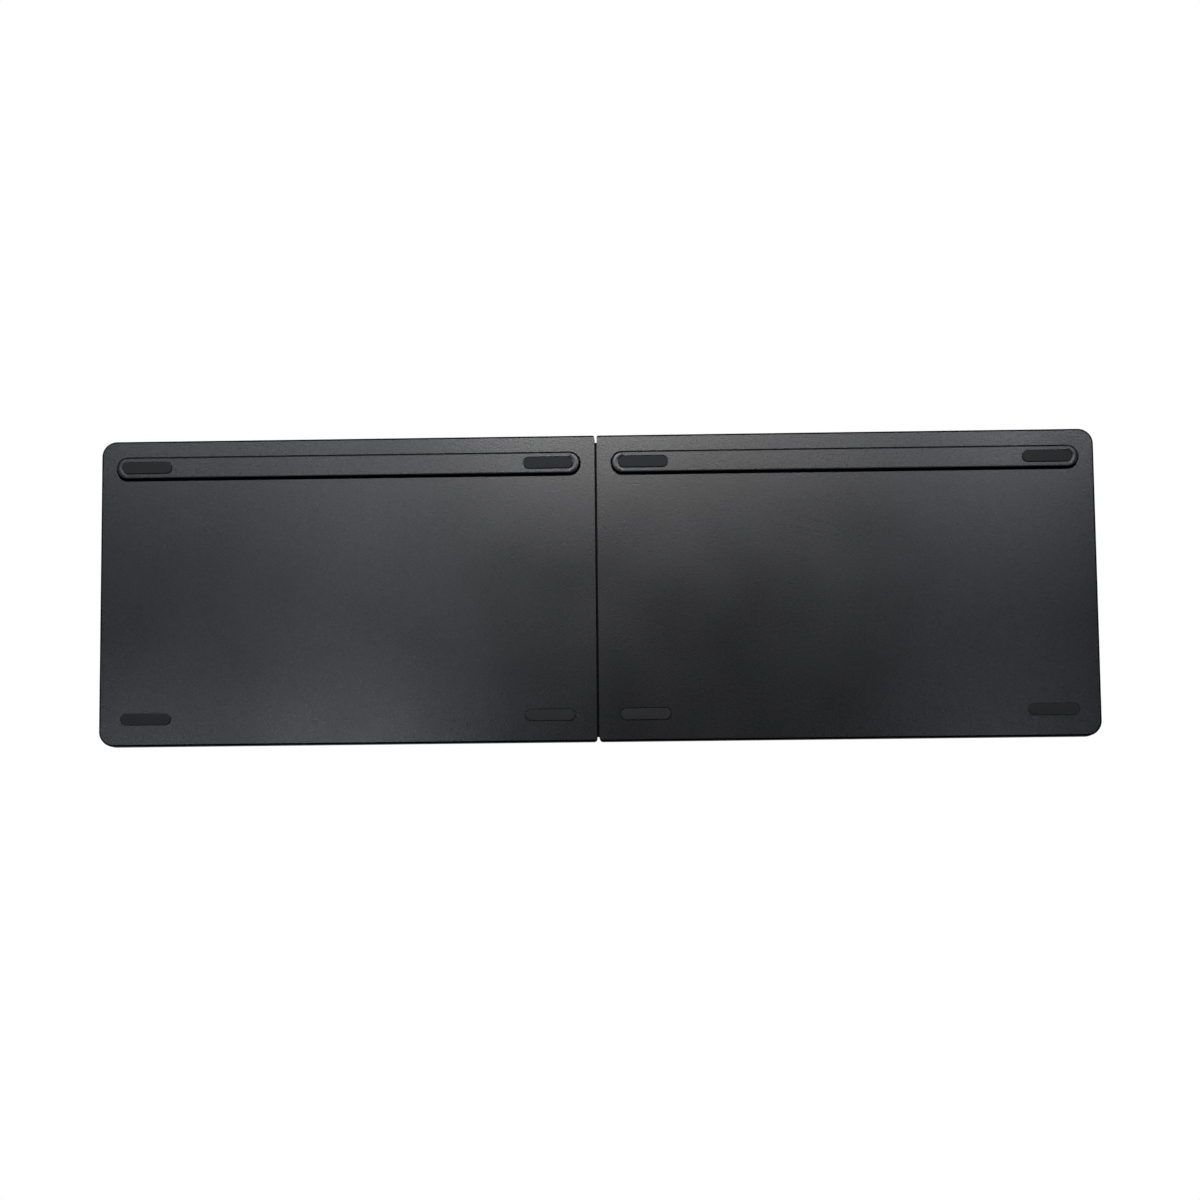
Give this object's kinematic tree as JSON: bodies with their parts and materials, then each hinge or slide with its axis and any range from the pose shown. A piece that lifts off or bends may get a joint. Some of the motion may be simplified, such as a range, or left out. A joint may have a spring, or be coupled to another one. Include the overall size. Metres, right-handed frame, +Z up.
{
  "type": "folding keyboard",
  "caption": "Slim charcoal keyboard in two halves that fold face to face on a knuckled hinge, with scissor keys, a rear rail and rubber feet.",
  "frame": {"origin": "on the desk under the middle of the open keyboard, z = 0 at the feet", "axes": "+X to the typist's right, +Y to the rear, +Z up out of the keys"},
  "size_m": [0.29, 0.0896, 0.0091],
  "materials": {
    "case": "fine textured charcoal, matte",
    "keycap": "fine matte, slightly darker than the case",
    "foot_rubber": "matte moulded silicone rubber",
    "plate_steel": "plain pressed sheet",
    "film": "thin printed polyester film",
    "dome_rubber": "translucent silicone",
    "scissor_plastic": "natural acetal",
    "hinge_steel": "dark coated, satin",
    "cable_jacket": "soft black jacket",
    "screw_steel": "black zinc plated",
    "magnet_plating": "nickel plated",
    "cell_foil": "pouch foil",
    "board": "solder masked laminate",
    "port_shell": "drawn stainless",
    "switch_plastic": "fine matte",
    "lens": "frosted clear light pipe"
  },
  "bodies": {
    "right_half": {"right_bottom_cover": "case", "right_top_frame": "case", "right_key_plate": "plate_steel", "right_membrane": "film", "right_domes": "dome_rubber", "right_scissors": "scissor_plastic", "right_hinge_leaf": "hinge_steel", "right_hinge_cable": "cable_jacket", "right_feet": "foot_rubber", "right_screws": "screw_steel", "magnets": "magnet_plating", "battery": "cell_foil", "controller_board": "board", "charging_port": "port_shell", "indicator_lens": "lens"},
    "left_half": {"left_bottom_cover": "case", "left_top_frame": "case", "left_key_plate": "plate_steel", "left_membrane": "film", "left_domes": "dome_rubber", "left_scissors": "scissor_plastic", "left_hinge_leaf": "hinge_steel", "hinge_pins": "hinge_steel", "left_hinge_cable": "cable_jacket", "left_feet": "foot_rubber", "left_screws": "screw_steel"},
    "power_switch": {"power_switch_knob": "switch_plastic"},
    "key_q": {"key_q": "keycap"},
    "key_w": {"key_w": "keycap"},
    "key_e": {"key_e": "keycap"},
    "key_r": {"key_r": "keycap"},
    "key_t": {"key_t": "keycap"},
    "key_a": {"key_a": "keycap"},
    "key_s": {"key_s": "keycap"},
    "key_d": {"key_d": "keycap"},
    "key_f": {"key_f": "keycap"},
    "key_g": {"key_g": "keycap"},
    "key_z": {"key_z": "keycap"},
    "key_x": {"key_x": "keycap"},
    "key_c": {"key_c": "keycap"},
    "key_v": {"key_v": "keycap"},
    "key_b": {"key_b": "keycap"},
    "left_space_key": {"left_space_key": "keycap"},
    "left_number_keys": {"left_number_keys": "keycap"},
    "left_modifier_keys": {"left_modifier_keys": "keycap"},
    "key_y": {"key_y": "keycap"},
    "key_u": {"key_u": "keycap"},
    "key_i": {"key_i": "keycap"},
    "key_o": {"key_o": "keycap"},
    "key_p": {"key_p": "keycap"},
    "key_h": {"key_h": "keycap"},
    "key_j": {"key_j": "keycap"},
    "key_k": {"key_k": "keycap"},
    "key_l": {"key_l": "keycap"},
    "key_n": {"key_n": "keycap"},
    "key_m": {"key_m": "keycap"},
    "right_space_key": {"right_space_key": "keycap"},
    "right_number_keys": {"right_number_keys": "keycap"},
    "right_punctuation_keys": {"right_punctuation_keys": "keycap"},
    "right_modifier_keys": {"right_modifier_keys": "keycap"}
  },
  "joints": [
    {"name": "fold_hinge", "type": "hinge", "parent": "right_half", "child": "left_half", "pos_m": [0, -0.00005, 0.00643], "axis": [0, 0.9998, 0.0183], "range_deg": [0, 180]},
    {"name": "power_slide", "type": "slide", "parent": "right_half", "child": "power_switch", "axis": [1, 0, 0], "range_m": [0, 0.002]},
    {"name": "press_key_q", "type": "slide", "parent": "left_half", "child": "key_q", "axis": [0, 0.0183, -0.9998], "range_m": [0, 0.0012], "stiffness_N_per_m": 400, "deforming": ["left_domes", "left_scissors"]},
    {"name": "press_key_w", "type": "slide", "parent": "left_half", "child": "key_w", "axis": [0, 0.0183, -0.9998], "range_m": [0, 0.0012], "stiffness_N_per_m": 400},
    {"name": "press_key_e", "type": "slide", "parent": "left_half", "child": "key_e", "axis": [0, 0.0183, -0.9998], "range_m": [0, 0.0012], "stiffness_N_per_m": 400},
    {"name": "press_key_r", "type": "slide", "parent": "left_half", "child": "key_r", "axis": [0, 0.0183, -0.9998], "range_m": [0, 0.0012], "stiffness_N_per_m": 400},
    {"name": "press_key_t", "type": "slide", "parent": "left_half", "child": "key_t", "axis": [0, 0.0183, -0.9998], "range_m": [0, 0.0012], "stiffness_N_per_m": 400},
    {"name": "press_key_a", "type": "slide", "parent": "left_half", "child": "key_a", "axis": [0, 0.0183, -0.9998], "range_m": [0, 0.0012], "stiffness_N_per_m": 400},
    {"name": "press_key_s", "type": "slide", "parent": "left_half", "child": "key_s", "axis": [0, 0.0183, -0.9998], "range_m": [0, 0.0012], "stiffness_N_per_m": 400},
    {"name": "press_key_d", "type": "slide", "parent": "left_half", "child": "key_d", "axis": [0, 0.0183, -0.9998], "range_m": [0, 0.0012], "stiffness_N_per_m": 400},
    {"name": "press_key_f", "type": "slide", "parent": "left_half", "child": "key_f", "axis": [0, 0.0183, -0.9998], "range_m": [0, 0.0012], "stiffness_N_per_m": 400},
    {"name": "press_key_g", "type": "slide", "parent": "left_half", "child": "key_g", "axis": [0, 0.0183, -0.9998], "range_m": [0, 0.0012], "stiffness_N_per_m": 400},
    {"name": "press_key_z", "type": "slide", "parent": "left_half", "child": "key_z", "axis": [0, 0.0183, -0.9998], "range_m": [0, 0.0012], "stiffness_N_per_m": 400},
    {"name": "press_key_x", "type": "slide", "parent": "left_half", "child": "key_x", "axis": [0, 0.0183, -0.9998], "range_m": [0, 0.0012], "stiffness_N_per_m": 400},
    {"name": "press_key_c", "type": "slide", "parent": "left_half", "child": "key_c", "axis": [0, 0.0183, -0.9998], "range_m": [0, 0.0012], "stiffness_N_per_m": 400},
    {"name": "press_key_v", "type": "slide", "parent": "left_half", "child": "key_v", "axis": [0, 0.0183, -0.9998], "range_m": [0, 0.0012], "stiffness_N_per_m": 400},
    {"name": "press_key_b", "type": "slide", "parent": "left_half", "child": "key_b", "axis": [0, 0.0183, -0.9998], "range_m": [0, 0.0012], "stiffness_N_per_m": 400},
    {"name": "press_left_space_key", "type": "slide", "parent": "left_half", "child": "left_space_key", "axis": [0, 0.0183, -0.9998], "range_m": [0, 0.0012], "stiffness_N_per_m": 400},
    {"name": "press_left_number_keys", "type": "slide", "parent": "left_half", "child": "left_number_keys", "axis": [0, 0.0183, -0.9998], "range_m": [0, 0.0012], "stiffness_N_per_m": 400},
    {"name": "press_left_modifier_keys", "type": "slide", "parent": "left_half", "child": "left_modifier_keys", "axis": [0, 0.0183, -0.9998], "range_m": [0, 0.0012], "stiffness_N_per_m": 400},
    {"name": "press_key_y", "type": "slide", "parent": "right_half", "child": "key_y", "axis": [0, 0.0183, -0.9998], "range_m": [0, 0.0012], "stiffness_N_per_m": 400, "deforming": ["right_domes", "right_scissors"]},
    {"name": "press_key_u", "type": "slide", "parent": "right_half", "child": "key_u", "axis": [0, 0.0183, -0.9998], "range_m": [0, 0.0012], "stiffness_N_per_m": 400},
    {"name": "press_key_i", "type": "slide", "parent": "right_half", "child": "key_i", "axis": [0, 0.0183, -0.9998], "range_m": [0, 0.0012], "stiffness_N_per_m": 400},
    {"name": "press_key_o", "type": "slide", "parent": "right_half", "child": "key_o", "axis": [0, 0.0183, -0.9998], "range_m": [0, 0.0012], "stiffness_N_per_m": 400},
    {"name": "press_key_p", "type": "slide", "parent": "right_half", "child": "key_p", "axis": [0, 0.0183, -0.9998], "range_m": [0, 0.0012], "stiffness_N_per_m": 400},
    {"name": "press_key_h", "type": "slide", "parent": "right_half", "child": "key_h", "axis": [0, 0.0183, -0.9998], "range_m": [0, 0.0012], "stiffness_N_per_m": 400},
    {"name": "press_key_j", "type": "slide", "parent": "right_half", "child": "key_j", "axis": [0, 0.0183, -0.9998], "range_m": [0, 0.0012], "stiffness_N_per_m": 400},
    {"name": "press_key_k", "type": "slide", "parent": "right_half", "child": "key_k", "axis": [0, 0.0183, -0.9998], "range_m": [0, 0.0012], "stiffness_N_per_m": 400},
    {"name": "press_key_l", "type": "slide", "parent": "right_half", "child": "key_l", "axis": [0, 0.0183, -0.9998], "range_m": [0, 0.0012], "stiffness_N_per_m": 400},
    {"name": "press_key_n", "type": "slide", "parent": "right_half", "child": "key_n", "axis": [0, 0.0183, -0.9998], "range_m": [0, 0.0012], "stiffness_N_per_m": 400},
    {"name": "press_key_m", "type": "slide", "parent": "right_half", "child": "key_m", "axis": [0, 0.0183, -0.9998], "range_m": [0, 0.0012], "stiffness_N_per_m": 400},
    {"name": "press_right_space_key", "type": "slide", "parent": "right_half", "child": "right_space_key", "axis": [0, 0.0183, -0.9998], "range_m": [0, 0.0012], "stiffness_N_per_m": 400},
    {"name": "press_right_number_keys", "type": "slide", "parent": "right_half", "child": "right_number_keys", "axis": [0, 0.0183, -0.9998], "range_m": [0, 0.0012], "stiffness_N_per_m": 400},
    {"name": "press_right_punctuation_keys", "type": "slide", "parent": "right_half", "child": "right_punctuation_keys", "axis": [0, 0.0183, -0.9998], "range_m": [0, 0.0012], "stiffness_N_per_m": 400},
    {"name": "press_right_modifier_keys", "type": "slide", "parent": "right_half", "child": "right_modifier_keys", "axis": [0, 0.0183, -0.9998], "range_m": [0, 0.0012], "stiffness_N_per_m": 400}
  ]
}
